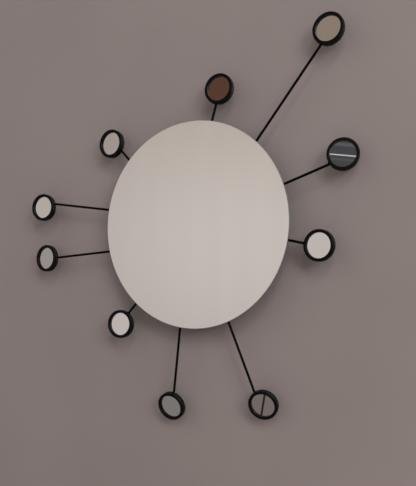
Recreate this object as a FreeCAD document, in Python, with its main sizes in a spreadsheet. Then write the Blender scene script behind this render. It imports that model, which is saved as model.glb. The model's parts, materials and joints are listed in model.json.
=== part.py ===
import FreeCAD, Part
import math
import os
import re
import Sketcher

# A wall mirror: one large round glass, with ten small round mirrors on straight rods around it.
# Each small mirror sits in a turned black cup that leans on a pin at its rod's end.
# Millimetres. X runs to the right, Y into the wall and Z up.
# The origin lies on the wall, on the axis of the large glass.

sizes = {
    # the large glass and the plate that carries it
    "mirror_diameter": 500,
    "mirror_thickness": 5,
    "mirror_chamfer": 1,
    "mirror_standoff": 50,
    "pad_thickness": 1.5,
    "pad_length": 70,
    "pad_width": 25,
    "pad_circle_diameter": 230,
    "plate_diameter": 340,
    "plate_thickness": 3,
    # the sockets on the plate's back and the screws that clamp the rods in them
    "socket_length": 55,
    "socket_width": 12,
    "socket_depth": 10,
    "socket_edge_margin": 6,
    "socket_gap": 0.05,
    "set_screw_diameter": 4,
    "set_screw_length": 3,
    "set_screw_inset": 12,
    "set_screw_gap": 0.05,
    "hex_key_width": 2,
    "hex_key_depth": 1.5,
    # the rods and the pivots at their tips
    "rod_diameter": 6,
    "rod_insertion": 45,
    "bend_radius": 10,
    "bend_lead": 4,
    "eye_diameter": 6.6,
    "eye_width": 6.6,
    "pin_diameter": 2.5,
    "pin_length": 16,
    "pin_press_gap": 0.02,
    "pin_running_gap": 0.04,
    "washer_diameter": 5,
    "washer_thickness": 0.3,
    "washer_gap": 0.05,
    # the small mirrors' cups
    "cup_diameter": 72,
    "cup_depth": 14,
    "rim_chamfer": 1.5,
    "back_chamfer": 1,
    "recess_diameter": 58,
    "glass_recess": 4.5,
    "small_glass_thickness": 3,
    "small_glass_gap": 0.2,
    "tape_thickness": 1,
    "tape_side": 36,
    "pivot_inset": 2.8,
    "pivot_depth": 9,
    "slot_gap": 0.2,
    "lean_inward": 20,
    # the bracket on the wall
    "web_width": 160,
    "bracket_height": 140,
    "bracket_rise": 10,
    "sheet_thickness": 2,
    "sheet_bend": 2.5,
    "flange_width": 25,
    "wall_hole_diameter": 6,
    "wall_hole_spacing": 100,
    "keyhole_entry_diameter": 13,
    "keyhole_slot_width": 6.6,
    "keyhole_drop": 14,
    # the posts between the plate and the bracket
    "post_spacing": 120,
    "post_height": 45,
    "post_diameter": 14,
    "neck_diameter": 6,
    "neck_play": 0.3,
    "post_head_diameter": 12,
    "post_head_thickness": 2.2,
    "foot_thickness": 3,
    "foot_chamfer": 1,
    "post_screw_diameter": 5,
    "post_screw_length": 12,
    "post_screw_head_diameter": 10,
    "post_screw_gap": 0.05,
    "post_tap_spare": 2,
    # how far a cut runs past what it cuts
    "overrun": 5,
}

# Each arm as it is seen from the front, numbered clockwise from the top: the angle that its rod points at,
# how far its line passes beside the glass's centre, the stretch of rod between the glass and the cup,
# the sideways bend at its tip, its turn in the socket and the lean of its small mirror away from the glass.
arms = {
    "01": {"bearing": 74, "offset": 25, "stretch": 41, "bend": 3, "turn": 1, "lean": 4},
    "02": {"bearing": 52, "offset": -10, "stretch": 248, "bend": 8, "turn": -3, "lean": 2},
    "03": {"bearing": 19, "offset": 7, "stretch": 109, "bend": 14, "turn": 4, "lean": 14},
    "04": {"bearing": -12, "offset": 11, "stretch": 36, "bend": 3, "turn": 1, "lean": -3},
    "05": {"bearing": -67, "offset": -5, "stretch": 175, "bend": 10, "turn": 4, "lean": 16},
    "06": {"bearing": -96, "offset": -14, "stretch": 166, "bend": -9, "turn": -3, "lean": 15},
    "07": {"bearing": -132.5, "offset": 4, "stretch": 40, "bend": 5, "turn": -1, "lean": -4},
    "08": {"bearing": -175.5, "offset": 38, "stretch": 184, "bend": -2, "turn": 3, "lean": 5},
    "09": {"bearing": 172.5, "offset": -16, "stretch": 191, "bend": 19, "turn": 1, "lean": -3},
    "10": {"bearing": 133.5, "offset": 20, "stretch": 44, "bend": 12, "turn": 1, "lean": 4},
}

pad_count = 6
hex_sides = 6

doc = FreeCAD.newDocument("satellite_mirror")
sheet = doc.addObject("Spreadsheet::Sheet", "sizes")
nodes = []


def fill_sheet():
    for number, values in arms.items():
        for word, measure in values.items():
            sizes[f"{word}_{number}"] = measure
    for row, (alias, size) in enumerate(sizes.items(), 1):
        sheet.set(f"A{row}", alias)
        sheet.set(f"B{row}", str(size))
        sheet.setAlias(f"B{row}", alias)
    doc.recompute()


def bound(text):
    """The same formula with each size written as a cell of the sheet."""
    return re.sub(r"[a-z][a-z_]*[a-z0-9_]*", lambda m: f"sizes.{m[0]}" if m[0] in sizes else m[0], text)


def value(text):
    """What a formula in the sheet's sizes comes to."""
    return float(sheet.evalExpression(text))


# Depths, from the wall towards the room, in the sheet's sizes
glass_front = "-mirror_standoff"
plate_front = "(mirror_thickness + pad_thickness - mirror_standoff)"
plate_back = f"({plate_front} + plate_thickness)"
rod_level = f"({plate_back} + socket_depth / 2)"
post_run = f"(-bracket_rise - {plate_back})"

# The cup, measured from its pin's depth on its own axis
cup_front = "-pivot_depth"
cup_back = "(cup_depth - pivot_depth)"
glass_level = "(glass_recess - pivot_depth)"
tape_level = f"({glass_level} + small_glass_thickness)"
floor_level = f"({tape_level} + tape_thickness)"
pin_radius = "(cup_diameter / 2 - pivot_inset)"
slot_width = "(eye_width + 2 * washer_thickness + 2 * washer_gap)"
rod_at_rim = "pivot_inset * tan(lean_inward * 1 deg) + rod_diameter / 2 / cos(lean_inward * 1 deg)"
slot_reach = f"({rod_at_rim} + slot_gap)"


def shifted(x="0", y="0", z="0"):
    return f"placement(vector({x}; {y}; {z}); rotation(vector(0; 0; 1); 0))"


def turned(axis, angle):
    vector = {"x": "1; 0; 0", "y": "0; 1; 0", "z": "0; 0; 1"}[axis]
    return f"placement(vector(0; 0; 0); rotation(vector({vector}); {angle}))"


def place(item, *steps):
    item.setExpression("Placement", bound(" * ".join(steps)))


def rod_line(number):
    """The frame of an arm's line: X along the rod, from the foot of the glass's centre on that line."""
    return [shifted(y=rod_level), turned("y", f"-bearing_{number}"), shifted(z=f"offset_{number}")]


def socket_end(number):
    return f"sqrt((plate_diameter / 2 - socket_edge_margin)^2 - offset_{number}^2)"


def bend_start(number):
    return f"(sqrt((mirror_diameter / 2)^2 - offset_{number}^2) + stretch_{number} - bend_lead)"


def tip_seat(number):
    """The frame of an arm's pin: X along the rod's tip, Y into the wall and Z along the pin."""
    return rod_line(number) + [
        shifted(x=bend_start(number)),
        turned("x", f"turn_{number}"),
        turned("y", f"-bend_{number}"),
        shifted(x="bend_lead + pivot_inset"),
    ]


def cup_seat(number):
    return tip_seat(number) + [turned("z", f"lean_{number}"), shifted(x=pin_radius)]


def new_body(name):
    body = doc.addObject("PartDesign::Body", name)
    body.Label = name
    return body


def origin_part(body, role):
    return next(part for part in body.Origin.OriginFeatures if part.Role == role)


def new_sketch(body, name, role, level=None):
    sketch = body.newObject("Sketcher::SketchObject", name)
    sketch.AttachmentSupport = [(origin_part(body, role), "")]
    sketch.MapMode = "FlatFace"
    if level:
        sketch.setExpression("AttachmentOffset.Base.z", bound(level))
    return sketch


def fix_point(sketch, item, end, x, y):
    """Hold a sketch point at two formulas in the sheet's sizes."""
    for kind, text, axis in (("DistanceX", x, -2), ("DistanceY", y, -1)):
        if text == "0":
            sketch.addConstraint(Sketcher.Constraint("PointOnObject", item, end, axis))
        else:
            held = sketch.addConstraint(Sketcher.Constraint(kind, -1, 1, item, end, value(text)))
            sketch.setExpression(f"Constraints[{held}]", bound(text))


def draw_outline(sketch, points):
    """A closed outline of straight lines through points given as formulas."""
    first = sketch.GeometryCount
    corners = [FreeCAD.Vector(value(x), value(y), 0) for x, y in points]
    count = len(points)
    for k in range(count):
        sketch.addGeometry(Part.LineSegment(corners[k], corners[(k + 1) % count]), False)
    for k in range(count):
        following = first + (k + 1) % count
        sketch.addConstraint(Sketcher.Constraint("Coincident", first + k, 2, following, 1))
    for k, (x, y) in enumerate(points):
        fix_point(sketch, first + k, 1, x, y)


def disc_outline(diameter, depth):
    radius = f"{diameter} / 2"
    return [("0", "0"), (radius, "0"), (radius, depth), ("0", depth)]


def draw_rectangle(sketch, left, right, low, high):
    draw_outline(sketch, [(left, low), (right, low), (right, high), (left, high)])


def draw_circle(sketch, diameter, x="0", y="0"):
    centre = FreeCAD.Vector(value(x), value(y), 0)
    ring = sketch.addGeometry(Part.Circle(centre, FreeCAD.Vector(0, 0, 1), value(diameter) / 2), False)
    if x == y == "0":
        sketch.addConstraint(Sketcher.Constraint("Coincident", ring, 3, -1, 1))
    else:
        fix_point(sketch, ring, 3, x, y)
    held = sketch.addConstraint(Sketcher.Constraint("Diameter", ring, value(diameter)))
    sketch.setExpression(f"Constraints[{held}]", bound(diameter))


def revolve(body, points):
    """A solid of revolution about the body's Y axis, from points of radius and depth."""
    sketch = new_sketch(body, "section", "XY_Plane")
    draw_outline(sketch, points)
    feature = body.newObject("PartDesign::Revolution", "turning")
    feature.Profile = sketch
    feature.ReferenceAxis = (origin_part(body, "Y_Axis"), [""])
    return feature


def pad(body, sketch, length, symmetric=False):
    feature = body.newObject("PartDesign::Pad", "pad")
    feature.Profile = sketch
    feature.setExpression("Length", bound(length))
    if symmetric:
        feature.SideType = "Symmetric"
    return feature


def cut_through(body, sketch):
    """Cut a sketch's outline through the whole body, both ways from its plane."""
    feature = body.newObject("PartDesign::Pocket", "cut")
    feature.Profile = sketch
    feature.SideType = "Symmetric"
    feature.Type = "ThroughAll"
    return feature


def ring_names(shape, radius, level):
    """The names of the round edges about Y that have this radius and depth."""
    names = []
    for k, edge in enumerate(shape.Edges, 1):
        curve = edge.Curve
        if curve.TypeId == "Part::GeomCircle" and math.isclose(curve.Radius, radius, rel_tol=1e-6):
            if math.isclose(curve.Center.y, level, rel_tol=1e-6, abs_tol=1e-6):
                names.append(f"Edge{k}")
    return names


def chamfer_rings(body, base, diameter, levels, size):
    doc.recompute()
    names = []
    for level in levels:
        names += ring_names(base.Shape, value(diameter) / 2, value(level))
    feature = body.newObject("PartDesign::Chamfer", "chamfer")
    feature.Base = (base, names)
    feature.setExpression("Size", bound(size))
    return feature


def keep(item, name):
    item.Label = name
    nodes.append(item)


def group(name, master, seats):
    """One node of separate equal solids: a master and a placed copy for each seat."""
    copies = []
    for k, seat in enumerate(seats, 1):
        copy = doc.addObject("App::Link", f"{master.Name}_{k:02d}")
        copy.LinkedObject = master
        place(copy, *seat)
        copies.append(copy)
    compound = doc.addObject("Part::Compound", name)
    compound.Links = copies
    keep(compound, name)


def main_mirror():
    body = new_body("main_mirror")
    turning = revolve(body, disc_outline("mirror_diameter", "mirror_thickness"))
    chamfer_rings(body, turning, "mirror_diameter", ["0", "mirror_thickness"], "mirror_chamfer")
    place(body, shifted(y=glass_front))
    keep(body, "main_mirror")


def mirror_pads():
    body = new_body("mirror_pad")
    sketch = new_sketch(body, "outline", "XZ_Plane")
    inner = "(pad_circle_diameter - pad_width) / 2"
    outer = "(pad_circle_diameter + pad_width) / 2"
    draw_rectangle(sketch, inner, outer, "-pad_length / 2", "pad_length / 2")
    pad(body, sketch, "pad_thickness")
    seats = [[shifted(y=plate_front), turned("y", f"360 / {pad_count} * {k}")] for k in range(pad_count)]
    group("mirror_pads", body, seats)


def post_places(height):
    return [("-post_spacing / 2", height), ("post_spacing / 2", height)]


def back_plate():
    body = new_body("back_plate")
    revolve(body, disc_outline("plate_diameter", "plate_thickness"))
    hole = "post_screw_diameter + 2 * post_screw_gap"
    sketch = new_sketch(body, "screw_holes", "XZ_Plane")
    for x, z in post_places("post_height") + post_places("-post_height"):
        draw_circle(sketch, hole, x, z)
    cut = cut_through(body, sketch)
    chamfer_rings(body, cut, hole, ["0"], "(post_screw_head_diameter - post_screw_diameter) / 2")
    place(body, shifted(y=plate_front))
    keep(body, "back_plate")


def arm_sockets():
    body = new_body("arm_socket")
    sketch = new_sketch(body, "section", "YZ_Plane", "-socket_length")
    draw_rectangle(sketch, "-socket_depth / 2", "socket_depth / 2", "-socket_width / 2", "socket_width / 2")
    draw_circle(sketch, "rod_diameter + 2 * socket_gap")
    pad(body, sketch, "socket_length")
    tapped = new_sketch(body, "tapped_hole", "XZ_Plane")
    draw_circle(tapped, "set_screw_diameter + 2 * set_screw_gap", "-set_screw_inset", "0")
    cut = body.newObject("PartDesign::Pocket", "tapping")
    cut.Profile = tapped
    cut.Type = "ThroughAll"
    group("arm_sockets", body, [rod_line(n) + [shifted(x=socket_end(n))] for n in arms])


def arm_set_screws():
    body = new_body("set_screw")
    revolve(body, disc_outline("set_screw_diameter", "set_screw_length"))
    sketch = new_sketch(body, "hexagon", "XZ_Plane", "-set_screw_length")
    corner = f"hex_key_width / 2 / cos({180 / hex_sides} * 1 deg)"
    angles = [360 / hex_sides * k + 180 / hex_sides for k in range(hex_sides)]
    draw_outline(sketch, [(f"{corner} * cos({a} * 1 deg)", f"{corner} * sin({a} * 1 deg)") for a in angles])
    cut = body.newObject("PartDesign::Pocket", "key_socket")
    cut.Profile = sketch
    cut.setExpression("Length", bound("hex_key_depth"))
    cut.Reversed = True
    lift = "rod_diameter / 2 + socket_gap"
    seats = [rod_line(n) + [shifted(x=f"{socket_end(n)} - set_screw_inset", y=lift)] for n in arms]
    group("arm_set_screws", body, seats)


def arm(number):
    """A rod from its pin inwards: a flat-sided eye, a short tip, a small bend and the long straight."""
    body = new_body(f"arm_{number}")
    bend = value(f"bend_{number}")
    half_turn = f"tan(abs(bend_{number}) * 1 deg / 2)"
    tip = f"(bend_lead + pivot_inset - bend_radius * {half_turn})"
    run = f"({bend_start(number)} - {socket_end(number)} + rod_insertion - bend_radius * {half_turn})"
    path = new_sketch(body, "path", "XZ_Plane")
    radius = value("bend_radius")
    corner = FreeCAD.Vector(-value(tip), 0, 0)
    angle = math.radians(bend)
    heading = math.pi - angle
    side = math.copysign(1, bend)
    centre = corner + FreeCAD.Vector(0, side * radius, 0)
    leave = centre - FreeCAD.Vector(math.sin(abs(angle)), side * math.cos(angle), 0) * radius
    far = leave + FreeCAD.Vector(math.cos(heading), math.sin(heading), 0) * value(run)
    path.addGeometry(Part.LineSegment(FreeCAD.Vector(), corner), False)
    begin = math.atan2(leave.y - centre.y, leave.x - centre.x)
    end = math.atan2(corner.y - centre.y, corner.x - centre.x)
    into, out = (2, 1) if bend > 0 else (1, 2)
    if bend < 0:
        begin, end = end, begin
    round_bend = Part.Circle(centre, FreeCAD.Vector(0, 0, 1), radius)
    path.addGeometry(Part.ArcOfCircle(round_bend, begin, end), False)
    path.addGeometry(Part.LineSegment(leave, far), False)
    path.addConstraint(Sketcher.Constraint("Coincident", 0, 1, -1, 1))
    path.addConstraint(Sketcher.Constraint("Horizontal", 0))
    path.addConstraint(Sketcher.Constraint("Tangent", 0, 2, 1, into))
    path.addConstraint(Sketcher.Constraint("Tangent", 1, out, 2, 1))
    for constraint, text in (
        (Sketcher.Constraint("Distance", 0, value(tip)), tip),
        (Sketcher.Constraint("Radius", 1, radius), "bend_radius"),
        (Sketcher.Constraint("Angle", 2, heading), f"(180 - bend_{number}) * 1 deg"),
        (Sketcher.Constraint("Distance", 2, value(run)), run),
    ):
        held = path.addConstraint(constraint)
        path.setExpression(f"Constraints[{held}]", bound(text))
    section = new_sketch(body, "section", "YZ_Plane")
    draw_circle(section, "rod_diameter")
    rod = body.newObject("PartDesign::AdditivePipe", "rod")
    rod.Profile = section
    rod.Spine = (path, ["Edge1", "Edge2", "Edge3"])
    eye = new_sketch(body, "eye", "XY_Plane")
    draw_circle(eye, "eye_diameter")
    pad(body, eye, "eye_width", symmetric=True)
    hole = new_sketch(body, "pin_hole", "XY_Plane")
    draw_circle(hole, "pin_diameter + 2 * pin_press_gap")
    cut_through(body, hole)
    place(body, *tip_seat(number))
    keep(body, f"arm_{number}")


def pivot_pins():
    body = new_body("pivot_pin")
    sketch = new_sketch(body, "section", "XY_Plane")
    draw_circle(sketch, "pin_diameter")
    pad(body, sketch, "pin_length", symmetric=True)
    group("pivot_pins", body, [tip_seat(n) for n in arms])


def friction_washers():
    body = new_body("friction_washer")
    sketch = new_sketch(body, "section", "XY_Plane")
    draw_circle(sketch, "washer_diameter")
    draw_circle(sketch, "pin_diameter + 2 * pin_running_gap")
    pad(body, sketch, "washer_thickness")
    sides = ["eye_width / 2", "-eye_width / 2 - washer_thickness"]
    group("friction_washers", body, [tip_seat(n) + [shifted(z=side)] for n in arms for side in sides])


def head_cup(number):
    """A turned cup with a recess in front, and a slot milled in its rim for the rod's eye."""
    body = new_body(f"head_cup_{number}")
    revolve(body, [
        ("0", floor_level), ("recess_diameter / 2", floor_level), ("recess_diameter / 2", cup_front),
        ("cup_diameter / 2 - rim_chamfer", cup_front), ("cup_diameter / 2", f"{cup_front} + rim_chamfer"),
        ("cup_diameter / 2", f"{cup_back} - back_chamfer"), ("cup_diameter / 2 - back_chamfer", cup_back),
        ("0", cup_back),
    ])
    slot = new_sketch(body, "slot", "XY_Plane")
    draw_rectangle(slot, "-cup_diameter / 2 - overrun", f"eye_diameter / 2 + slot_gap - {pin_radius}",
                   f"-{slot_reach}", f"{cup_back} + overrun")
    cut = body.newObject("PartDesign::Pocket", "slot_cut")
    cut.Profile = slot
    cut.SideType = "Symmetric"
    cut.setExpression("Length", bound(slot_width))
    drill = new_sketch(body, "pin_hole", "XY_Plane", "-pin_length / 2")
    draw_circle(drill, "pin_diameter + 2 * pin_running_gap", f"-{pin_radius}", "0")
    hole = body.newObject("PartDesign::Pocket", "pin_drilling")
    hole.Profile = drill
    hole.Type = "ThroughAll"
    hole.Reversed = True
    place(body, *cup_seat(number))
    keep(body, f"head_cup_{number}")


def head_mirror(number):
    body = new_body(f"head_mirror_{number}")
    edge = "recess_diameter / 2 - small_glass_gap"
    revolve(body, [("0", glass_level), (edge, glass_level), (edge, tape_level), ("0", tape_level)])
    place(body, *cup_seat(number))
    keep(body, f"head_mirror_{number}")


def head_tape(number):
    body = new_body(f"head_tape_{number}")
    sketch = new_sketch(body, "outline", "XZ_Plane", f"-{floor_level}")
    draw_rectangle(sketch, "-tape_side / 2", "tape_side / 2", "-tape_side / 2", "tape_side / 2")
    pad(body, sketch, "tape_thickness")
    place(body, *cup_seat(number))
    keep(body, f"head_tape_{number}")


def round_bends(body, base, corners, radius):
    """Round the bracket's upright edges at these corners of its section, on both sides."""
    doc.recompute()
    names = []
    for x, y in corners:
        for k, edge in enumerate(base.Shape.Edges, 1):
            start = edge.Vertexes[0].Point
            upright = math.isclose(edge.Length, value("bracket_height"), rel_tol=1e-6)
            beside = math.isclose(abs(start.x), value(x), rel_tol=1e-6)
            if upright and beside and math.isclose(start.y, value(y), abs_tol=1e-6):
                names.append(f"Edge{k}")
    feature = body.newObject("PartDesign::Fillet", "bends")
    feature.Base = (base, names)
    feature.setExpression("Radius", bound(radius))
    return feature


def wall_bracket():
    """A bent sheet: flanges on the wall and a raised web with two keyholes for the posts."""
    body = new_body("wall_bracket")
    web, reach = "web_width / 2", "(web_width / 2 + flange_width)"
    inner = "(web_width / 2 - sheet_thickness)"
    section = new_sketch(body, "section", "XY_Plane")
    half = [
        (reach, "0"), (reach, "-sheet_thickness"), (web, "-sheet_thickness"), (web, "-bracket_rise"),
    ]
    back = [(inner, "0"), (inner, "sheet_thickness - bracket_rise")]
    mirrored = [(f"-{x}", y) for x, y in reversed(half)]
    draw_outline(section, half + mirrored + [(f"-{x}", y) for x, y in back] + list(reversed(back)))
    sheet_pad = pad(body, section, "bracket_height", symmetric=True)
    outer_bends = [(web, "-bracket_rise"), (inner, "0")]
    inner_bends = [(web, "-sheet_thickness"), (inner, "sheet_thickness - bracket_rise")]
    bent = round_bends(body, sheet_pad, outer_bends, "sheet_bend")
    round_bends(body, bent, inner_bends, "sheet_bend - sheet_thickness")
    holes = new_sketch(body, "wall_holes", "XZ_Plane")
    middle = "(web_width + flange_width) / 2"
    for x in (middle, f"-{middle}"):
        for z in ("wall_hole_spacing / 2", "-wall_hole_spacing / 2"):
            draw_circle(holes, "wall_hole_diameter", x, z)
    cut_through(body, holes)
    ends = new_sketch(body, "keyhole_ends", "XZ_Plane")
    slots = new_sketch(body, "keyhole_slots", "XZ_Plane")
    half_slot = "keyhole_slot_width / 2"
    for x, z in post_places("post_height"):
        entry = f"{z} + keyhole_drop"
        draw_circle(ends, "keyhole_slot_width", x, z)
        draw_circle(ends, "keyhole_entry_diameter", x, entry)
        draw_rectangle(slots, f"{x} - {half_slot}", f"{x} + {half_slot}", z, entry)
    cut_through(body, ends)
    cut_through(body, slots)
    keep(body, "wall_bracket")


def post_section(end_points):
    """Half a post's section: its tapped hole at the plate, its side and the points of its far end."""
    bore = "post_screw_diameter / 2 + post_screw_gap"
    depth = "(post_screw_length - plate_thickness + post_tap_spare)"
    return [(bore, depth), (bore, "0"), ("post_diameter / 2", "0")] + end_points + [("0", depth)]


def hanging_posts():
    body = new_body("hanging_post")
    behind = f"({post_run} + sheet_thickness + neck_play)"
    revolve(body, post_section([
        ("post_diameter / 2", post_run), ("neck_diameter / 2", post_run), ("neck_diameter / 2", behind),
        ("post_head_diameter / 2", behind), ("post_head_diameter / 2", f"{behind} + post_head_thickness"),
        ("0", f"{behind} + post_head_thickness"),
    ]))
    group("hanging_posts", body, [[shifted(x, plate_back, z)] for x, z in post_places("post_height")])


def spacer_posts():
    body = new_body("spacer_post")
    end = f"({post_run} - foot_thickness)"
    revolve(body, post_section([("post_diameter / 2", end), ("0", end)]))
    group("spacer_posts", body, [[shifted(x, plate_back, z)] for x, z in post_places("-post_height")])


def rubber_feet():
    body = new_body("rubber_foot")
    revolve(body, [
        ("0", "0"), ("post_diameter / 2", "0"), ("post_diameter / 2", "foot_thickness - foot_chamfer"),
        ("post_diameter / 2 - foot_chamfer", "foot_thickness"), ("0", "foot_thickness"),
    ])
    level = "-bracket_rise - foot_thickness"
    group("rubber_feet", body, [[shifted(x, level, z)] for x, z in post_places("-post_height")])


def post_screws():
    body = new_body("post_screw")
    head = "(post_screw_head_diameter - post_screw_diameter) / 2"
    revolve(body, [
        ("0", "0"), ("post_screw_head_diameter / 2", "0"), ("post_screw_diameter / 2", head),
        ("post_screw_diameter / 2", "post_screw_length"), ("0", "post_screw_length"),
    ])
    places = post_places("post_height") + post_places("-post_height")
    group("post_screws", body, [[shifted(x, plate_front, z)] for x, z in places])


def check_document():
    for item in doc.Objects:
        if "Invalid" in item.State or "Error" in item.State:
            raise RuntimeError(f"{item.Label} failed: {item.State}")
    for item in nodes:
        if item.Shape.isNull() or not item.Shape.isValid():
            raise RuntimeError(f"{item.Label} has no valid shape")


def write_parts():
    os.makedirs("parts", exist_ok=True)
    for item in nodes:
        item.Shape.exportStep(f"parts/{item.Label}.step")
        print(f"{item.Label}: {len(item.Shape.Solids)} solid(s), {item.Shape.Volume:.0f} mm3")


fill_sheet()
main_mirror()
mirror_pads()
back_plate()
arm_sockets()
arm_set_screws()
wall_bracket()
hanging_posts()
spacer_posts()
rubber_feet()
post_screws()
for number in arms:
    arm(number)
    head_cup(number)
    head_mirror(number)
    head_tape(number)
pivot_pins()
friction_washers()
doc.recompute()
check_document()
write_parts()
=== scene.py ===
import bmesh
import bpy
import json
import math
from mathutils import Matrix, Vector


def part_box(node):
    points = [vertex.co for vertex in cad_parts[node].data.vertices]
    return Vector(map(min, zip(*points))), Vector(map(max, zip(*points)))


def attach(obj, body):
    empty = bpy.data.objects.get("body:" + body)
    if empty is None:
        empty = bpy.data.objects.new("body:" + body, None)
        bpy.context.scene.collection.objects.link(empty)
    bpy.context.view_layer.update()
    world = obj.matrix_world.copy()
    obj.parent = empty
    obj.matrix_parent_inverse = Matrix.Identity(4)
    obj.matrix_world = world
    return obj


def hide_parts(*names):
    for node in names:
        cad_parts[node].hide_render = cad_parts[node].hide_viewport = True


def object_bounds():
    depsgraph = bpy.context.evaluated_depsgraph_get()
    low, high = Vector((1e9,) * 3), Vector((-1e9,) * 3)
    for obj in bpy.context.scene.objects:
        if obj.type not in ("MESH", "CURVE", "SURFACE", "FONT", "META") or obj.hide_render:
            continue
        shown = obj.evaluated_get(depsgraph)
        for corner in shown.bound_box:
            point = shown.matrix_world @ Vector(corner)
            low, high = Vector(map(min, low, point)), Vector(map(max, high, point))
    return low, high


# A wall mirror: a large round glass, and ten small ones in black cups on rods around it.
# Metres, in the frame's own axes: +X to the right, +Y into the wall, +Z up.

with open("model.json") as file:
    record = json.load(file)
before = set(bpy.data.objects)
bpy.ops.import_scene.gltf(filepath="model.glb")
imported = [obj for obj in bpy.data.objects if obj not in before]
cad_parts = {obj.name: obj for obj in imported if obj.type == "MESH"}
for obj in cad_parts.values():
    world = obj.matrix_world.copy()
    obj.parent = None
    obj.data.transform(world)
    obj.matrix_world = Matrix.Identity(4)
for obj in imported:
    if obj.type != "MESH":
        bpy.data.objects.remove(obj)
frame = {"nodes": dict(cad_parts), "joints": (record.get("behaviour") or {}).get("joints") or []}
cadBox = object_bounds()
joints = {joint["child"]: joint for joint in frame["joints"]}
headNumbers = sorted(child[-2:] for child in joints)
print("frame loaded,", len(frame["nodes"]), "nodes and", len(headNumbers), "heads")


class Wire:  # a socket in a node tree: maths on wires adds Math nodes
    def __init__(self, tree, socket=None):
        self.tree = tree
        self.socket = socket

    def node(self, kind, sockets={}, out=0, **settings):
        made = self.tree.nodes.new("ShaderNode" + kind)
        for name, setting in settings.items():
            setattr(made, name, setting)
        for name, value in sockets.items():
            if isinstance(value, Wire):
                self.tree.links.new(value.socket, made.inputs[name])
            else:
                made.inputs[name].default_value = value
        return Wire(self.tree, made.outputs[out] if made.outputs else None)

    def output(self, name):  # another output of the node that this wire leaves
        return Wire(self.tree, self.socket.node.outputs[name])

    def maths(self, operation, first, second):
        return self.node("Math", {0: first, 1: second}, operation=operation)

    def __add__(self, other):
        return self.maths("ADD", self, other)

    def __radd__(self, other):
        return self.maths("ADD", other, self)

    def __sub__(self, other):
        return self.maths("SUBTRACT", self, other)

    def __rsub__(self, other):
        return self.maths("SUBTRACT", other, self)

    def __mul__(self, other):
        return self.maths("MULTIPLY", self, other)

    def __rmul__(self, other):
        return self.maths("MULTIPLY", other, self)

    def between(self, low, high):  # 0 below low, 1 above high, smooth in between
        sockets = {"Value": self, "From Min": low, "From Max": high}
        return self.node("MapRange", sockets, interpolation_type="SMOOTHSTEP")

    def objectPlace(self):
        return self.node("TexCoord", out="Object")

    def noise(self, vector, scale, detail, rough=0.5):
        sockets = {"Vector": vector, "Scale": scale, "Detail": detail, "Roughness": rough}
        return self.node("TexNoise", sockets)

    def streaks(self, vector, scales, detail):  # noise with its own scale along each axis
        stretched = self.node("Mapping", {"Vector": vector, "Scale": scales})
        return self.noise(stretched, 1, detail)

    def mix(self, mask, first, second):  # 6 and 7 are the colours among the sockets of a Mix node
        return self.node("Mix", {0: mask, 6: first, 7: second}, out=2, data_type="RGBA")

    def bump(self, pattern, height, strength):
        return self.node("Bump", {"Height": pattern, "Distance": height, "Strength": strength})


def rgb(red, green, blue):  # a colour as it looks on screen, from 0 to 255
    def linear(shade):
        share = shade / 255
        return share / 12.92 if share < 0.04045 else ((share + 0.055) / 1.055) ** 2.4
    return (linear(red), linear(green), linear(blue), 1)


def emptyTree(owner):  # of a material, a lamp or the world
    owner.use_nodes = True
    owner.node_tree.nodes.clear()
    return Wire(owner.node_tree)


def newFinish(name, describe):
    material = bpy.data.materials.new(name)
    w = emptyTree(material)
    shader = w.node("BsdfPrincipled", describe(w))
    w.node("OutputMaterial", {"Surface": shader})
    return material


# In the finishes, a pattern is given by its cells per metre, its detail and its roughness, streaks by their
# cells along each axis and their detail, a range by its two ends, and relief by its height and strength.
# What a pattern dulls is added to the roughness, what it shows is its share in the colour, and what it rises
# is its share in the relief.

# Silver behind glass: a clear mirror with a little wiping haze and a few dust specks.
silver = {
    "largeTone": (0.88, 0.885, 0.88, 1),
    "smallTone": (0.81, 0.81, 0.81, 1),
    "dust": (0.30, 0.27, 0.25, 1),
    "speckCells": 14,
    "speckRadius": 0.0005,
    "speckCore": 0.5,  # the share of the radius that is full
    "speckRange": (0.84, 0.86),  # about one cell in six has a speck
    "speckCovers": 0.6,
    "speckDulls": 0.3,
    "wiping": ((26, 26, 9.1), 4),
    "wipingRange": (0.35, 0.75),
    "wipingDulls": 0.018,
    "roughness": 0.006,
    "coat": 0.2,
    "coatRoughness": 0.01,
}


def silverFinish(w, tone):
    place = w.objectPlace()
    axes = w.node("SeparateXYZ", {"Vector": place})
    face = w.node("CombineXYZ", {"X": axes, "Y": axes.output("Z")})
    cells = w.node("TexVoronoi", {"Vector": face, "Scale": silver["speckCells"]}, voronoi_dimensions="2D")
    chance = w.node("SeparateColor", {"Color": cells.output("Color")})
    edge = silver["speckRadius"] * silver["speckCells"]
    near = 1 - cells.between(edge * silver["speckCore"], edge)
    speck = near * chance.between(*silver["speckRange"])
    wiping = w.streaks(place, *silver["wiping"]).between(*silver["wipingRange"])
    return {
        "Base Color": w.mix(speck, tone, silver["dust"]),
        "Metallic": 1 - speck * silver["speckCovers"],
        "Roughness": silver["roughness"] + wiping * silver["wipingDulls"] + speck * silver["speckDulls"],
        "Coat Weight": silver["coat"],
        "Coat Roughness": silver["coatRoughness"],
    }


# The ground edge of the glass: dark sea green, with fine lines that run round it.
glassEdge = {
    "deep": (0.030, 0.052, 0.046, 1),
    "light": (0.085, 0.125, 0.112, 1),
    "lines": ((12, 5200, 12), 2),
    "patches": (45, 3),
    "patchRange": (0.3, 0.7),
    "roughness": 0.14,
    "linesDull": 0.16,
    "relief": (0.00004, 0.4),
    "coat": 0.5,
    "coatRoughness": 0.08,
}


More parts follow.
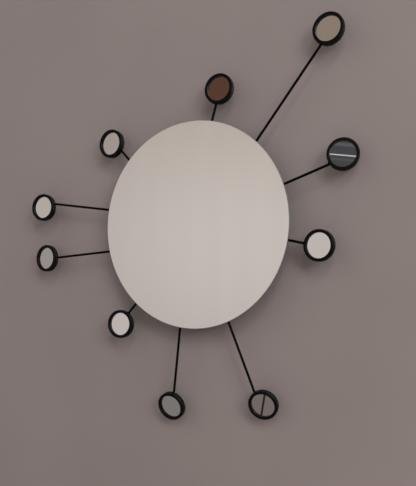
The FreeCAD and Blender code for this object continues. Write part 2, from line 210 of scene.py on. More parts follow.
def glassEdgeFinish(w):
    place = w.objectPlace()
    lines = w.streaks(place, *glassEdge["lines"])
    patches = w.noise(place, *glassEdge["patches"]).between(*glassEdge["patchRange"])
    return {
        "Base Color": w.mix(patches, glassEdge["deep"], glassEdge["light"]),
        "Roughness": glassEdge["roughness"] + lines * glassEdge["linesDull"],
        "Normal": w.bump(lines, *glassEdge["relief"]),
        "Coat Weight": glassEdge["coat"],
        "Coat Roughness": glassEdge["coatRoughness"],
    }


# The broken corner between face and edge, ground and left matt, so that it looks frosted.
arris = {
    "frost": (0.30, 0.295, 0.285, 1),
    "chip": (0.20, 0.205, 0.20, 1),
    "grit": (2600, 3),
    "gritRange": (0.35, 0.7),
    "roughness": 0.42,
    "gritDulls": 0.2,
    "relief": (0.00004, 0.5),
}


def arrisFinish(w):
    grit = w.noise(w.objectPlace(), *arris["grit"])
    return {
        "Base Color": w.mix(grit.between(*arris["gritRange"]), arris["frost"], arris["chip"]),
        "Roughness": arris["roughness"] + grit * arris["gritDulls"],
        "Normal": w.bump(grit, *arris["relief"]),
    }


# The paint that seals the silver at the back: blue grey, rolled on in one direction.
backPaint = {
    "dark": rgb(92, 98, 106),
    "light": rgb(112, 118, 126),
    "rolled": ((9, 60, 150), 4),
    "rolledRange": (0.2, 0.8),
    "rolledShows": 0.6,
    "rolledRises": 0.2,
    "peel": (900, 2),
    "peelDulls": 0.14,
    "roughness": 0.44,
    "relief": (0.00008, 0.4),
}


def backPaintFinish(w):
    place = w.objectPlace()
    rolled = w.streaks(place, *backPaint["rolled"])
    peel = w.noise(place, *backPaint["peel"])
    shown = rolled.between(*backPaint["rolledRange"]) * backPaint["rolledShows"]
    return {
        "Base Color": w.mix(shown, backPaint["dark"], backPaint["light"]),
        "Roughness": backPaint["roughness"] + peel * backPaint["peelDulls"],
        "Normal": w.bump(peel + rolled * backPaint["rolledRises"], *backPaint["relief"]),
    }


# Satin black lacquer on the turned cups: faint lathe rings, and wear on the rim's edges in a pale blue grey
# that is also a painted highlight along them.
cupLacquer = {
    "black": (0.0020, 0.0019, 0.0026, 1),
    "dusty": (0.0042, 0.0040, 0.0052, 1),
    "wornHighlight": (0.050, 0.052, 0.066, 1),
    "clouds": (70, 4),
    "cloudRange": (0.35, 0.8),
    "cloudsDull": 0.14,
    "ringPitch": 0.00022,
    "ringDetail": 1,
    "ringsRise": 0.5,
    "peel": (1500, 2),
    "peelDulls": 0.05,
    "wearAndHighlight": (260, 5, 0.7),
    "wearAndHighlightRange": (0.52, 0.72),
    "wearAndHighlightShows": 0.55,
    "wearAndHighlightReach": 0.0006,  # from the rim's corners
    "roughness": 0.33,
    "relief": (0.00002, 0.5),
    "specular": 0.09,
}


def cupLacquerFinish(w):
    place = w.objectPlace()
    turning = w.node("UVMap", uv_map="turning")
    axes = w.node("SeparateXYZ", {"Vector": turning})
    depth = axes.output("Y")
    pitches = 1 / cupLacquer["ringPitch"]
    rings = w.streaks(turning, (pitches, pitches, 0), cupLacquer["ringDetail"])
    peel = w.noise(place, *cupLacquer["peel"])
    clouds = w.noise(place, *cupLacquer["clouds"])

    def nearCorner(radius, level):  # 1 on a corner of the turned outline, 0 a little away from it
        across = axes - radius
        along = depth - level
        return 1 - (across * across + along * along).between(0, cupLacquer["wearAndHighlightReach"] ** 2)

    rim, front = cup["diameter"] / 2, -cup["pivotDepth"]
    corners = nearCorner(rim - cup["rimChamfer"], front) + nearCorner(rim, front + cup["rimChamfer"])
    corners = corners + nearCorner(cup["recess"] / 2, front)
    # the rim's corners in pale blue grey: wear, and a painted highlight along the edges
    wornHighlight = corners * w.noise(place, *cupLacquer["wearAndHighlight"]).between(*cupLacquer["wearAndHighlightRange"])
    lacquer = w.mix(clouds.between(*cupLacquer["cloudRange"]), cupLacquer["black"], cupLacquer["dusty"])
    dull = clouds * cupLacquer["cloudsDull"] + peel * cupLacquer["peelDulls"]
    return {
        "Base Color": w.mix(wornHighlight * cupLacquer["wearAndHighlightShows"], lacquer, cupLacquer["wornHighlight"]),
        "Roughness": cupLacquer["roughness"] + dull,
        "Normal": w.bump(rings * cupLacquer["ringsRise"] + peel, *cupLacquer["relief"]),
        "Specular IOR Level": cupLacquer["specular"],
    }


# The same lacquer on the drawn rods: a little thicker, with orange peel and rubbed spots.
rodLacquer = {
    "black": (0.0010, 0.0010, 0.0012, 1),
    "rubbed": (0.008, 0.008, 0.009, 1),
    "peel": (1300, 2),
    "rubbing": (190, 5, 0.7),
    "rubbingRange": (0.62, 0.80),
    "rubbingShows": 0.6,
    "clouds": (60, 3),
    "cloudsDull": 0.16,
    "roughness": 0.34,
    "relief": (0.00003, 0.5),
    "specular": 0.05,
}


def rodLacquerFinish(w):
    place = w.objectPlace()
    peel = w.noise(place, *rodLacquer["peel"])
    rubbing = w.noise(place, *rodLacquer["rubbing"]).between(*rodLacquer["rubbingRange"])
    clouds = w.noise(place, *rodLacquer["clouds"])
    return {
        "Base Color": w.mix(rubbing * rodLacquer["rubbingShows"], rodLacquer["black"], rodLacquer["rubbed"]),
        "Roughness": rodLacquer["roughness"] + clouds * rodLacquer["cloudsDull"],
        "Normal": w.bump(peel, *rodLacquer["relief"]),
        "Specular IOR Level": rodLacquer["specular"],
    }


# Fine black powder coat on the plate and its sockets, with painted light on the grain where it rises and
# painted shade in its pits.
powder = {
    "shadedPit": (0.016, 0.016, 0.018, 1),
    "lit": (0.036, 0.036, 0.039, 1),
    "grain": (1100, 3, 0.6),
    "grainRange": (0.35, 0.7),
    "grainDulls": 0.16,
    "drift": (9, 3),
    "driftDulls": 0.06,
    "roughness": 0.50,
    "relief": (0.00016, 0.6),
}


def powderFinish(w):
    place = w.objectPlace()
    grain = w.noise(place, *powder["grain"])
    drift = w.noise(place, *powder["drift"])
    return {
        # the grain's colour follows its relief: a painted highlight on the tops, painted shade in the pits
        "Base Color": w.mix(grain.between(*powder["grainRange"]), powder["shadedPit"], powder["lit"]),
        "Roughness": powder["roughness"] + grain * powder["grainDulls"] + drift * powder["driftDulls"],
        "Normal": w.bump(grain, *powder["relief"]),
    }


# Zinc on the bent sheet of the bracket: rolled streaks, cloudy patches and a trace of straw colour.
zinc = {
    "bright": (0.62, 0.635, 0.65, 1),
    "dull": (0.42, 0.43, 0.435, 1),
    "straw": (0.60, 0.57, 0.47, 1),
    "rolled": ((900, 900, 9), 3),
    "rolledDulls": 0.12,
    "clouds": (28, 5, 0.6),
    "cloudRange": (0.35, 0.7),
    "cloudsDull": 0.2,
    "tint": (16, 2),
    "tintRange": (0.5, 0.75),
    "tintShows": 0.5,
    "roughness": 0.26,
    "relief": (0.00003, 0.5),
}


def zincFinish(w):
    place = w.objectPlace()
    rolled = w.streaks(place, *zinc["rolled"])
    clouds = w.noise(place, *zinc["clouds"])
    tint = w.noise(place, *zinc["tint"]).between(*zinc["tintRange"])
    sheet = w.mix(clouds.between(*zinc["cloudRange"]), zinc["bright"], zinc["dull"])
    return {
        "Base Color": w.mix(tint * zinc["tintShows"], sheet, zinc["straw"]),
        "Metallic": 1,
        "Roughness": zinc["roughness"] + clouds * zinc["cloudsDull"] + rolled * zinc["rolledDulls"],
        "Normal": w.bump(rolled, *zinc["relief"]),
    }


# Bright turned steel of the posts and pins, with tool marks round each piece.
turnedSteel = {
    "bright": (0.56, 0.56, 0.575, 1),
    "dull": (0.40, 0.40, 0.41, 1),
    "marks": ((60, 4200, 60), 2),
    "marksDull": 0.16,
    "stain": (120, 4),
    "stainRange": (0.4, 0.7),
    "stainDulls": 0.08,
    "roughness": 0.2,
    "relief": (0.00003, 0.5),
}


def turnedSteelFinish(w):
    place = w.objectPlace()
    marks = w.streaks(place, *turnedSteel["marks"])
    stain = w.noise(place, *turnedSteel["stain"])
    stained = stain.between(*turnedSteel["stainRange"])
    dull = marks * turnedSteel["marksDull"] + stain * turnedSteel["stainDulls"]
    return {
        "Base Color": w.mix(stained, turnedSteel["bright"], turnedSteel["dull"]),
        "Metallic": 1,
        "Roughness": turnedSteel["roughness"] + dull,
        "Normal": w.bump(marks, *turnedSteel["relief"]),
    }


# Blackened screws with a trace of oil and spots of bare steel.
blackSteel = {
    "black": (0.030, 0.030, 0.033, 1),
    "bare": (0.16, 0.16, 0.165, 1),
    "spots": (700, 4, 0.7),
    "spotRange": (0.58, 0.75),
    "oil": (300, 3),
    "oilDulls": 0.2,
    "metallic": 0.9,
    "roughness": 0.36,
    "relief": (0.00002, 0.4),
}


def blackSteelFinish(w):
    place = w.objectPlace()
    spots = w.noise(place, *blackSteel["spots"]).between(*blackSteel["spotRange"])
    oil = w.noise(place, *blackSteel["oil"])
    return {
        "Base Color": w.mix(spots, blackSteel["black"], blackSteel["bare"]),
        "Metallic": blackSteel["metallic"],
        "Roughness": blackSteel["roughness"] + oil * blackSteel["oilDulls"],
        "Normal": w.bump(spots, *blackSteel["relief"]),
    }


# Closed-cell foam of the tapes and pads: matt black with open pores on its cut edges.
foam = {
    "pore": (0.010, 0.010, 0.010, 1),
    "wall": (0.045, 0.045, 0.046, 1),
    "cells": 3200,
    "poreRange": (0.1, 0.6),
    "poresDull": 0.14,
    "roughness": 0.82,
    "relief": (0.0002, 0.8),
}


def foamFinish(w):
    pores = w.node("TexVoronoi", {"Vector": w.objectPlace(), "Scale": foam["cells"]})
    return {
        "Base Color": w.mix(pores.between(*foam["poreRange"]), foam["wall"], foam["pore"]),
        "Roughness": foam["roughness"] + pores * foam["poresDull"],
        "Normal": w.bump(pores, *foam["relief"]),
    }


# Soft rubber of the feet, with a bloom of pale dust.
rubber = {
    "black": (0.012, 0.012, 0.012, 1),
    "pale": (0.055, 0.054, 0.052, 1),
    "bloom": (160, 5, 0.65),
    "bloomRange": (0.45, 0.8),
    "bloomShows": 0.6,
    "bloomDulls": 0.2,
    "grain": (2400, 2),
    "grainDulls": 0.08,
    "roughness": 0.62,
    "relief": (0.00006, 0.6),
}


def rubberFinish(w):
    place = w.objectPlace()
    bloom = w.noise(place, *rubber["bloom"]).between(*rubber["bloomRange"])
    grain = w.noise(place, *rubber["grain"])
    return {
        "Base Color": w.mix(bloom * rubber["bloomShows"], rubber["black"], rubber["pale"]),
        "Roughness": rubber["roughness"] + bloom * rubber["bloomDulls"] + grain * rubber["grainDulls"],
        "Normal": w.bump(grain, *rubber["relief"]),
    }


# Natural nylon of the washers.
nylon = {
    "milk": (0.72, 0.70, 0.64, 1),
    "amber": (0.58, 0.54, 0.45, 1),
    "clouds": (500, 4),
    "cloudRange": (0.35, 0.7),
    "cloudsDull": 0.12,
    "roughness": 0.40,
    "relief": (0.00003, 0.4),
}


def nylonFinish(w):
    clouds = w.noise(w.objectPlace(), *nylon["clouds"])
    return {
        "Base Color": w.mix(clouds.between(*nylon["cloudRange"]), nylon["milk"], nylon["amber"]),
        "Roughness": nylon["roughness"] + clouds * nylon["cloudsDull"],
        "Normal": w.bump(clouds, *nylon["relief"]),
    }


# Modelling by hand: what counts as the same place, as a corner and as a flat face
limits = {
    "samePlace": 0.00002,
    "corner": 30,  # degrees between two faces
    "smooth": 32,  # degrees up to which two faces are shaded as one
    "facing": 0.9,  # this and the two below: how much of a face's normal lies along an axis
    "flat": 0.999,
    "upright": 0.2,
}


def clearSelection():
    bpy.ops.object.select_all(action="DESELECT")


def pickOnly(piece):
    clearSelection()
    piece.select_set(True)
    bpy.context.view_layer.objects.active = piece


def startPiece(name):  # the primitive that was just added becomes a named piece with its place in its mesh
    piece = bpy.context.object
    piece.name = name
    piece.data.name = name
    bpy.ops.object.transform_apply(location=True, rotation=True, scale=True)
    return piece


def addDisc(name, radius, near, far, sides):  # a round piece about the Y axis, from one depth to another
    clearSelection()
    bpy.ops.mesh.primitive_cylinder_add(
        vertices=sides, radius=radius, depth=far - near,
        location=(0, (near + far) / 2, 0), rotation=(math.pi / 2, 0, 0))
    return startPiece(name)


def addBlock(name, width, depth, height):
    clearSelection()
    bpy.ops.mesh.primitive_cube_add(size=1)
    piece = startPiece(name)
    piece.data.transform(Matrix.Diagonal((width, depth, height, 1)))
    return piece


def edit(piece):
    pickOnly(piece)
    bpy.ops.object.mode_set(mode="EDIT")


def done():
    bpy.ops.object.mode_set(mode="OBJECT")


def pickFaces(piece, test):
    bpy.ops.mesh.select_mode(type="FACE")
    bpy.ops.mesh.select_all(action="DESELECT")
    shape = bmesh.from_edit_mesh(piece.data)
    for face in shape.faces:
        face.select_set(test(face))
    bmesh.update_edit_mesh(piece.data)


def pickEdges(piece, test):
    bpy.ops.mesh.select_mode(type="EDGE")
    bpy.ops.mesh.select_all(action="DESELECT")
    shape = bmesh.from_edit_mesh(piece.data)
    for line in shape.edges:
        if test(line):
            line.select_set(True)
    bmesh.update_edit_mesh(piece.data)


def onRings(*rings):  # a test for edges that lie on one of these rings of radius and depth
    def test(line):
        for radius, level in rings:
            off = [abs(math.hypot(v.co.x, v.co.z) - radius) + abs(v.co.y - level) for v in line.verts]
            if max(off) < limits["samePlace"]:
                return True
        return False
    return test


def isCorner(line):
    return len(line.link_faces) == 2 and line.calc_face_angle() > math.radians(limits["corner"])


def bevelPicked(width, steps):
    bpy.ops.mesh.bevel(
        offset=width, offset_type="OFFSET", segments=steps, affect="EDGES", clamp_overlap=True)


def smooth(piece, degrees=limits["smooth"]):
    pickOnly(piece)
    bpy.ops.object.shade_smooth_by_angle(angle=math.radians(degrees))


def cutAway(piece, cutter):
    pickOnly(piece)
    boolean = piece.modifiers.new("cut", "BOOLEAN")
    boolean.object = cutter
    boolean.operation = "DIFFERENCE"
    boolean.solver = "EXACT"
    bpy.ops.object.modifier_apply(modifier=boolean.name)
    bpy.data.objects.remove(cutter)


def mapTurning(piece):  # radius and depth of a turned piece, for patterns that follow its outline
    layer = piece.data.uv_layers.new(name="turning")
    for corner in piece.data.loops:
        point = piece.data.vertices[corner.vertex_index].co
        layer.data[corner.index].uv = (math.hypot(point.x, point.z), point.y)


def coat(piece, *finishes):
    piece.data.materials.clear()
    for finish in finishes:
        piece.data.materials.append(finish)


def coatNode(name, finish):
    coat(frame["nodes"][name], finish)


def paintGlass(piece, finishes, silvering):
    layers = [silvering, "backPaint", "glassEdge", "arris"]
    coat(piece, *[finishes[layer] for layer in layers])
    for face in piece.data.polygons:
        level = face.normal.y
        if level < -limits["flat"]:
            layer = silvering  # seen through the front
        elif level > limits["flat"]:
            layer = "backPaint"
        elif abs(level) < limits["upright"]:
            layer = "glassEdge"
        else:
            layer = "arris"
        face.material_index = layers.index(layer)
        face.use_smooth = abs(level) < limits["flat"]


def copyTo(master, name, place):
    piece = master.copy()
    piece.data = master.data.copy()
    piece.name = name
    piece.data.name = name
    bpy.context.scene.collection.objects.link(piece)
    piece.data.transform(place)
    return piece


def fit(piece, body, slot, *nodes):
    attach(piece, body)
    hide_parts(*nodes)


# The cup of a small mirror, about the Y axis: depths count from its pin, which lies on the side of -X
cup = {
    "diameter": 0.072,
    "depth": 0.014,
    "rimChamfer": 0.0015,
    "backChamfer": 0.001,
    "rounding": 0.00025,
    "roundingSteps": 3,
    "recess": 0.058,
    "recessDepth": 0.0085,
    "pivotDepth": 0.009,  # behind the front rim
    "pivotInset": 0.0028,  # inside the outer wall
    "slotWidth": 0.0073,
    "slotInner": 0.0297,  # from the cup's axis
    "slotFront": 0.00441,  # before the pin
    "slotOver": 0.0072,  # what the slot's cutter stands out past the wall
    "pinHole": 0.00258,
    "pinHalf": 0.0081,  # from the slot's middle to the blind end of the pin's hole
    "pinSides": 32,
    "sides": 144,
}
smallGlass = {
    "diameter": 0.0576,
    "thickness": 0.003,
    "belowRim": 0.0045,
    "arris": 0.0003,
    "arrisSteps": 2,
    "sides": 120,
}


def cupMaster():
    rim, front = cup["diameter"] / 2, -cup["pivotDepth"]
    back = front + cup["depth"]
    inner = cup["recess"] / 2
    piece = addDisc("cupMaster", rim, front, back, cup["sides"])
    edit(piece)
    pickFaces(piece, lambda face: face.normal.y < -limits["facing"])
    bpy.ops.mesh.inset(thickness=rim - inner)
    bpy.ops.mesh.extrude_region_move(TRANSFORM_OT_translate={"value": (0, cup["recessDepth"], 0)})
    pickEdges(piece, onRings((rim, front)))
    bevelPicked(cup["rimChamfer"], 1)
    pickEdges(piece, onRings((rim, back)))
    bevelPicked(cup["backChamfer"], 1)
    atRecessFloor = onRings((inner, front + cup["recessDepth"]))
    pickEdges(piece, lambda line: isCorner(line) and not atRecessFloor(line))
    bevelPicked(cup["rounding"], cup["roundingSteps"])
    done()
    slotBack = back * 2  # well behind the cup
    slotReach = rim + cup["slotOver"] - cup["slotInner"]
    slot = addBlock("slotCutter", slotReach, slotBack + cup["slotFront"], cup["slotWidth"])
    middle = Vector((-cup["slotInner"] - slotReach / 2, (slotBack - cup["slotFront"]) / 2, 0))
    slot.data.transform(Matrix.Translation(middle))
    cutAway(piece, slot)
    clearSelection()
    bpy.ops.mesh.primitive_cylinder_add(vertices=cup["pinSides"], radius=cup["pinHole"] / 2, depth=rim)
    drill = startPiece("pinCutter")
    drill.data.transform(Matrix.Translation((cup["pivotInset"] - rim, 0, rim / 2 - cup["pinHalf"])))
    cutAway(piece, drill)
    smooth(piece)
    mapTurning(piece)
    return piece


def smallGlassMaster():
    near = smallGlass["belowRim"] - cup["pivotDepth"]
    far = near + smallGlass["thickness"]
    radius = smallGlass["diameter"] / 2
    piece = addDisc("glassMaster", radius, near, far, smallGlass["sides"])
    edit(piece)
    pickEdges(piece, onRings((radius, near), (radius, far)))
    bevelPicked(smallGlass["arris"], smallGlass["arrisSteps"])
    done()
    smooth(piece)
    return piece


# Where a head is: X points away from its pin, Y into the wall and Z along the pin
def headPlace(number):
    joint = joints["head_" + number]
    pin, along = Vector(joint["pos_m"]), Vector(joint["axis"]).normalized()
    low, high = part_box("head_mirror_" + number)
    toGlass = (low + high) / 2 - pin
    radius = cup["diameter"] / 2 - cup["pivotInset"]
    level = smallGlass["belowRim"] - cup["pivotDepth"] + smallGlass["thickness"] / 2
    outward = Matrix.Rotation(-math.atan2(level, radius), 3, along) @ toGlass.normalized()
    inward = along.cross(outward)
    middle = pin + outward * radius
    place = Matrix((outward, inward, along)).transposed().to_4x4()
    return Matrix.Translation(middle) @ place


def buildHeads(finishes):
    cupPiece, glassPiece = cupMaster(), smallGlassMaster()
    coat(cupPiece, finishes["cup"])
    paintGlass(glassPiece, finishes, "smallSilver")
    for number in headNumbers:
        place, body = headPlace(number), "head_" + number
        newCup = copyTo(cupPiece, "cup_" + number, place)
        fit(newCup, body, "cup_black", "head_cup_" + number)
        newGlass = copyTo(glassPiece, "smallGlass_" + number, place)
        fit(newGlass, body, "small_glass", "head_mirror_" + number)
        coatNode("head_tape_" + number, finishes["foam"])
        coatNode("arm_" + number, finishes["rod"])
    bpy.data.objects.remove(cupPiece)
    bpy.data.objects.remove(glassPiece)
    print("heads built:", len(headNumbers))


# The large glass: a ground edge between two chamfers
mainGlass = {"chamfer": 0.001, "rounding": 0.0002, "roundingSteps": 2, "sides": 360}


def buildMainGlass(finishes):
    low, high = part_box("main_mirror")
    radius = (high.x - low.x) / 2
    piece = addDisc("mainGlass", radius, low.y, high.y, mainGlass["sides"])
    edit(piece)
    pickEdges(piece, onRings((radius, low.y), (radius, high.y)))
    bevelPicked(mainGlass["chamfer"], 1)
    pickEdges(piece, isCorner)
    bevelPicked(mainGlass["rounding"], mainGlass["roundingSteps"])
    done()
    smooth(piece)
    paintGlass(piece, finishes, "silver")
    fit(piece, "carrier", "main_glass", "main_mirror")
    print("main glass built")


# Foam pads between the plate and the glass, with soft edges where the foam was cut
foamPad = {
    "count": 6,
    "circle": 0.230,
    "length": 0.070,
    "width": 0.025,
    "corner": 0.003,
    "cornerSteps": 6,
    "softEdge": 0.0006,
    "softEdgeSteps": 4,
}


def buildPads(finishes):
    low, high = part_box("mirror_pads")
    master = addBlock("padMaster", foamPad["width"], high.y - low.y, foamPad["length"])
    edit(master)
    pickEdges(master, lambda line: abs(line.verts[0].co.y - line.verts[1].co.y) > limits["samePlace"])
    bevelPicked(foamPad["corner"], foamPad["cornerSteps"])
    pickEdges(master, isCorner)
    bevelPicked(foamPad["softEdge"], foamPad["softEdgeSteps"])
    done()
    smooth(master)
    coat(master, finishes["foam"])
    seat = Matrix.Translation((foamPad["circle"] / 2, (low.y + high.y) / 2, 0))
    for k in range(foamPad["count"]):
        turn = Matrix.Rotation(2 * math.pi * k / foamPad["count"], 4, "Y")
        pad = copyTo(master, "foamPad_%d" % (k + 1), turn @ seat)
        fit(pad, "carrier", "foam_tape", "mirror_pads")
    bpy.data.objects.remove(master)
    print("foam pads built:", foamPad["count"])


# Rubber feet under the lower posts: pressed a little, so that their ends are well rounded
rubberFoot = {"postEnd": 0.0004, "postSteps": 3, "bracketEnd": 0.0012, "bracketSteps": 6, "sides": 72}


def buildFeet(finishes):
    low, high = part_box("rubber_feet")
    radius = (high.z - low.z) / 2
    master = addDisc("footMaster", radius, low.y, high.y, rubberFoot["sides"])
    edit(master)
    pickEdges(master, onRings((radius, low.y)))
    bevelPicked(rubberFoot["postEnd"], rubberFoot["postSteps"])
    pickEdges(master, onRings((radius, high.y)))
    bevelPicked(rubberFoot["bracketEnd"], rubberFoot["bracketSteps"])
    done()
    smooth(master)
    coat(master, finishes["rubber"])
    for side, x in (("left", low.x + radius), ("right", high.x - radius)):
        place = Matrix.Translation((x, 0, (low.z + high.z) / 2))
        fit(copyTo(master, "rubberFoot_" + side, place), "carrier", "foot_rubber", "rubber_feet")
    bpy.data.objects.remove(master)
    print("rubber feet built")


# Short weld beads that hold each socket on the plate, two on either side, under the same powder coat
weld = {
    "radius": 0.0014,
    "ripple": 0.84,  # the radius between two ripples, as a share of the bead's
    "end": 0.5,  # the radius at either end, as a share of the bead's
    "step": 0.00065,
    "steps": 23,
    "sides": 12,
    "smooth": 70,  # degrees
    "reach": 0.164,  # from the plate's middle to the sockets' outer ends
    "starts": (-0.0520, -0.0180),  # from the outer end
    "socketWidth": 0.012,
    "rods": {  # the angle that each rod points at, and how far its line passes beside the plate's middle
        "01": (74, 0.025),
        "02": (52, -0.010),
        "03": (19, 0.007),
        "04": (-12, 0.011),
        "05": (-67, -0.005),
        "06": (-96, -0.014),
        "07": (-132.5, 0.004),
        "08": (-175.5, 0.038),
        "09": (172.5, -0.016),
        "10": (133.5, 0.020),
    },
}


def weldMaster():
    first, second = weld["starts"]
    step, side = weld["step"], weld["socketWidth"]
    start = (first, 0, -side / 2)
    size = weld["radius"] * weld["end"]
    clearSelection()
    bpy.ops.mesh.primitive_cylinder_add(
        vertices=weld["sides"], radius=size, depth=step, location=start, rotation=(0, math.pi / 2, 0))
    piece = startPiece("weldMaster")
    edit(piece)
    pickFaces(piece, lambda face: face.normal.x > limits["facing"])
    for k in range(weld["steps"]):
        last = k == weld["steps"] - 1
        target = weld["radius"] * (weld["end"] if last else weld["ripple"] if k % 2 else 1)
        bpy.ops.mesh.extrude_region_move(TRANSFORM_OT_translate={"value": (step, 0, 0)})
        share = target / size
        bpy.ops.transform.resize(value=(1, share, share), center_override=start)
        size = target
    for move in ((second - first, 0, 0), (0, 0, side)):
        bpy.ops.mesh.select_all(action="SELECT")
        bpy.ops.mesh.duplicate_move(TRANSFORM_OT_translate={"value": move})
    done()
    smooth(piece, weld["smooth"])
    return piece


def buildWelds(finishes):
    master = weldMaster()
    coat(master, finishes["powder"])
    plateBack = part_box("back_plate")[1].y
    for number, (bearing, offset) in weld["rods"].items():
        end = math.sqrt(weld["reach"] ** 2 - offset ** 2)
        turn = Matrix.Rotation(-math.radians(bearing), 4, "Y")
        piece = copyTo(master, "weld_" + number, turn @ Matrix.Translation((end, plateBack, offset)))
        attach(piece, "carrier")
    bpy.data.objects.remove(master)
    print("welds built:", len(weld["rods"]))


# What keeps its CAD shape: the finish of each, and the width of its broken edges
cadPieces = {
    "back_plate": ("powder", 0.0002),
    "arm_sockets": ("powder", 0.0005),
    "arm_set_screws": ("blackSteel", 0.00015),
    "post_screws": ("blackSteel", 0.0002),
    "wall_bracket": ("zinc", 0.0003),
    "hanging_posts": ("turnedSteel", 0.0003),
    "spacer_posts": ("turnedSteel", 0.0003),
    "pivot_pins": ("turnedSteel", 0.0002),
    "friction_washers": ("nylon", 0.00005),
}
brokenEdge = {"merge": 0.000002, "flat": 0.5, "corner": 35, "steps": 2}  # flat and corner in degrees


def coatCadPieces(finishes):
    for name, (finish, width) in cadPieces.items():
        coatNode(name, finishes[finish])
        modifiers = frame["nodes"][name].modifiers
        joined = modifiers.new("joined faces", "WELD")
        joined.merge_threshold = brokenEdge["merge"]
        whole = modifiers.new("whole faces", "DECIMATE")
        whole.decimate_type = "DISSOLVE"
        whole.angle_limit = math.radians(brokenEdge["flat"])
        broken = modifiers.new("broken edges", "BEVEL")
        broken.limit_method = "ANGLE"
        broken.angle_limit = math.radians(brokenEdge["corner"])
        broken.width = width
        broken.segments = brokenEdge["steps"]
    print("CAD pieces coated:", len(cadPieces))


# The wall that the mirror hangs on, in matt paint, and the pale floor below it
wall = {
    "paint": rgb(149, 137, 135),
    "patches": (2.2, 4),
    "patchRange": (0.3, 0.75),
    "patchShade": 0.93,  # of the paint
    "roller": (420, 2),
    "relief": (0.0004, 0.25),
    "roughness": 0.85,
    "specular": 0.2,
    "side": 9.0,
    "gap": 0.0005,  # behind the mirror
}
floor = {
    "paint": rgb(200, 195, 187),
    "scuffed": rgb(190, 185, 177),
    "scuffs": (3, 3),
    "roughness": 0.7,
    "level": -1.5,
}


def addPlane(name, side, middle=(0, 0, 0), rotation=(0, 0, 0)):
    clearSelection()
    bpy.ops.mesh.primitive_plane_add(size=side, location=middle, rotation=rotation)
    plane = startPiece(name)
    return plane


def wallPaint():  # seen from the room only, so that the mirror's back can be looked at
    material = bpy.data.materials.new("wallPaint")
    w = emptyTree(material)
    place = w.objectPlace()
    patches = w.noise(place, *wall["patches"]).between(*wall["patchRange"])
    roller = w.noise(place, *wall["roller"])
    shade = [channel * wall["patchShade"] for channel in wall["paint"][:3]] + [1]
    paint = w.node("BsdfPrincipled", {
        "Base Color": w.mix(patches, wall["paint"], shade),
        "Roughness": wall["roughness"],
        "Specular IOR Level": wall["specular"],
        "Normal": w.bump(roller, *wall["relief"]),
    })
    clear = w.node("BsdfTransparent")
    behind = w.node("NewGeometry", out="Backfacing")
    w.node("OutputMaterial", {"Surface": w.node("MixShader", {0: behind, 1: paint, 2: clear})})
    return material


def floorFinish(w):
    scuffs = w.noise(w.objectPlace(), *floor["scuffs"])
    return {
        "Base Color": w.mix(scuffs, floor["paint"], floor["scuffed"]),
        "Roughness": floor["roughness"],
    }


def buildStage():
    upright = (math.pi / 2, 0, 0)
    wallPlane = addPlane("wall", wall["side"], (0, cadBox[1].y + wall["gap"], 0), upright)
    wallPlane.data.materials.append(wallPaint())
    wallPlane.visible_shadow = False
    floorPlane = addPlane("floor", wall["side"], (0, -wall["side"] / 2, floor["level"]))
    floorPlane.data.materials.append(newFinish("floorPaint", floorFinish))
    print("stage built")


# The camera stands to the right of the mirror and a little below its middle
camera = {
    "spot": (0.83639, -1.53950, -0.14175),
    "looks": (-0.46891, 0.88249, -0.03641),
    "up": (-0.02239, 0.02933, 0.99932),
    "sensor": 36,  # millimetres, as is the lens
    "lens": 52.314,
    "shift": 0.13799,  # upwards
}


def buildCamera():
    data = bpy.data.cameras.new("camera")
    data.sensor_width = camera["sensor"]
    data.lens = camera["lens"]
    data.shift_y = camera["shift"]
    eye = bpy.data.objects.new("camera", data)
    bpy.context.scene.collection.objects.link(eye)
    looks = Vector(camera["looks"]).normalized()
    right = looks.cross(Vector(camera["up"])).normalized()
    up = right.cross(looks)
    turn = Matrix((right, up, -looks)).transposed().to_4x4()
    eye.matrix_world = Matrix.Translation(camera["spot"]) @ turn
    bpy.context.scene.camera = eye
    print("camera set")


# Glowing boards that light nothing and that only the small mirrors see, each where its mirror looks from the
# camera: painted reflections of the room
glowingBoards = {
    "away": 1.2,
    "side": 0.30,
    "strength": 1.25,
    "colours": {
        "01": rgb(85, 58, 48),
        "02": rgb(135, 121, 108),
        "03": rgb(67, 67, 69),
        "05": rgb(110, 102, 97),
        "06": rgb(119, 114, 111),
    },
    "stripLift": 0.002,  # in front of the board
    "strips": {  # shift, width, turn in degrees and colour of each
        "03": [
            (-0.005, 0.0042, 6, rgb(196, 190, 184)),
            (0.034, 0.012, 6, rgb(85, 86, 89)),
            (-0.022, 0.008, 6, rgb(77, 78, 81)),
        ],
        "05": [(0, 0.0085, 110, rgb(44, 29, 24))],
    },
}


def addGlowingBoard(name, place, width, height, colour):
    board = addPlane(name, 1)
    board.data.transform(place @ Matrix.Diagonal((width, height, 1, 1)))
    # each board glows in its own colour and is seen by glossy rays only: a painted reflection
    board.data.materials.append(newFinish(name, lambda w: {
        "Base Color": (0, 0, 0, 1),
        "Specular IOR Level": 0,
        "Emission Color": colour,
        "Emission Strength": glowingBoards["strength"],
    }))
    board.visible_camera = False
    board.visible_diffuse = False
    board.visible_shadow = False


def buildGlowingBoards():
    for number, colour in glowingBoards["colours"].items():
        head = headPlace(number)
        view = (head.translation - Vector(camera["spot"])).normalized()
        seen = view.reflect(head.to_3x3().col[1])
        facing = (-seen).to_track_quat("Z", "Y").to_matrix().to_4x4()
        place = Matrix.Translation(head.translation + seen * glowingBoards["away"]) @ facing
        addGlowingBoard("glowingBoard_" + number, place, glowingBoards["side"], glowingBoards["side"], colour)
        for shift, width, degrees, stripColour in glowingBoards["strips"].get(number, []):
            turn = Matrix.Rotation(math.radians(degrees), 4, "Z")
            lift = Matrix.Translation((0, shift, glowingBoards["stripLift"]))
            addGlowingBoard("strip_" + number, place @ turn @ lift, glowingBoards["side"], width, stripColour)
    print("boards set:", len(glowingBoards["colours"]))


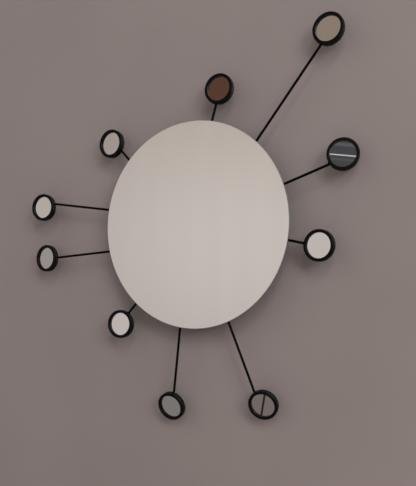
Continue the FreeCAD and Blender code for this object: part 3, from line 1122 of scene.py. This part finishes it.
lamps = {  # where each soft lamp stands, its side, its power in watts and whether the mirrors see it
    "highLamp": ((2.8, -4.6, 4.2), 2.0, 86, True),
    "lowLamp": ((4.0, -3.2, 1.5), 2.0, 94, True),
    "wideLamp": ((-3.6, -3.2, 2.6), 4.0, 34, False),
    "rearLamp": ((0.4, 2.0, 1.2), 2.0, 95, True),
}


def lightOnlyWhatIsSeen(light):  # none of its light bounces off the back of the glass onto the wall
    w = emptyTree(light)
    depth = w.node("LightPath", out="Ray Depth")
    glow = w.node("Emission", {"Strength": (2 - depth).between(0, 1)})  # nothing from the second bounce on
    w.node("OutputLight", {"Surface": glow})


def buildLamps():
    for name, (spot, side, power, mirrored) in lamps.items():
        light = bpy.data.lights.new(name, "AREA")
        light.size = side
        light.energy = power
        lamp = bpy.data.objects.new(name, light)
        bpy.context.scene.collection.objects.link(lamp)
        lamp.location = spot
        lamp.rotation_mode = "QUATERNION"
        lamp.rotation_quaternion = (-Vector(spot)).to_track_quat("-Z", "Y")
        lamp.visible_glossy = mirrored
        if name == "rearLamp":
            lightOnlyWhatIsSeen(light)
    print("lamps set:", len(lamps))


# The room round the mirror: even light, and soft tones for what reflects it
room = {
    "ambient": ((1, 0.985, 0.965, 1), 0.42),  # colour and strength
    "backdrop": rgb(214, 210, 205),
    "middle": rgb(207, 197, 191),
    "high": rgb(186, 174, 164),
    "low": rgb(178, 170, 165),
    "side": rgb(156, 147, 142),
    "highRange": (0.07, 0.30),  # of the way up that a direction points
    "lowFrom": 0.06,
    "lowFade": 0.30,
    "sideRange": (0.43, 0.88),  # of the way to the left
    "folds": ((34, 34, 0.6), 2),
    "strength": 0.965,
    "foldsLighten": 0.07,
}


def buildRoom():
    world = bpy.data.worlds.new("room")
    bpy.context.scene.world = world
    w = emptyTree(world)
    seen = w.node("LightPath", out="Is Camera Ray")
    glossy = seen.output("Is Glossy Ray")
    tint, evenLight = room["ambient"]
    ambient = w.node("Background", {"Color": tint, "Strength": evenLight})
    direction = w.node("TexCoord", out="Generated")
    axes = w.node("SeparateXYZ", {"Vector": direction})
    height = axes.output("Z")
    toSide = (0 - axes).between(*room["sideRange"])
    upward = height.between(*room["highRange"])
    downward = (room["lowFrom"] - height).between(0, room["lowFade"])
    folds = w.streaks(direction, *room["folds"])
    level = w.mix(downward, w.mix(upward, room["middle"], room["high"]), room["low"])
    tone = w.mix(toSide, level, room["side"])
    strength = room["strength"] + folds * room["foldsLighten"]
    reflected = w.node("Background", {"Color": tone, "Strength": strength})
    backdrop = w.node("Background", {"Color": room["backdrop"], "Strength": 1})
    lit = w.node("MixShader", {0: glossy, 1: ambient, 2: reflected})
    w.node("OutputWorld", {"Surface": w.node("MixShader", {0: seen, 1: lit, 2: backdrop})})
    bpy.context.scene.view_settings.view_transform = "Standard"
    print("room set")


finishes = {
    "silver": newFinish("silver", lambda w: silverFinish(w, silver["largeTone"])),
    "smallSilver": newFinish("smallSilver", lambda w: silverFinish(w, silver["smallTone"])),
    "arris": newFinish("frostedArris", arrisFinish),
    "glassEdge": newFinish("glassEdge", glassEdgeFinish),
    "backPaint": newFinish("backPaint", backPaintFinish),
    "cup": newFinish("cupLacquer", cupLacquerFinish),
    "rod": newFinish("rodLacquer", rodLacquerFinish),
    "powder": newFinish("powderCoat", powderFinish),
    "zinc": newFinish("zincSheet", zincFinish),
    "turnedSteel": newFinish("turnedSteel", turnedSteelFinish),
    "blackSteel": newFinish("blackSteel", blackSteelFinish),
    "foam": newFinish("foamTape", foamFinish),
    "rubber": newFinish("footRubber", rubberFinish),
    "nylon": newFinish("washerNylon", nylonFinish),
}
print("finishes mixed:", len(finishes))
buildHeads(finishes)
buildMainGlass(finishes)
buildPads(finishes)
buildFeet(finishes)
buildWelds(finishes)
coatCadPieces(finishes)
buildStage()
buildGlowingBoards()
buildLamps()
buildRoom()
buildCamera()
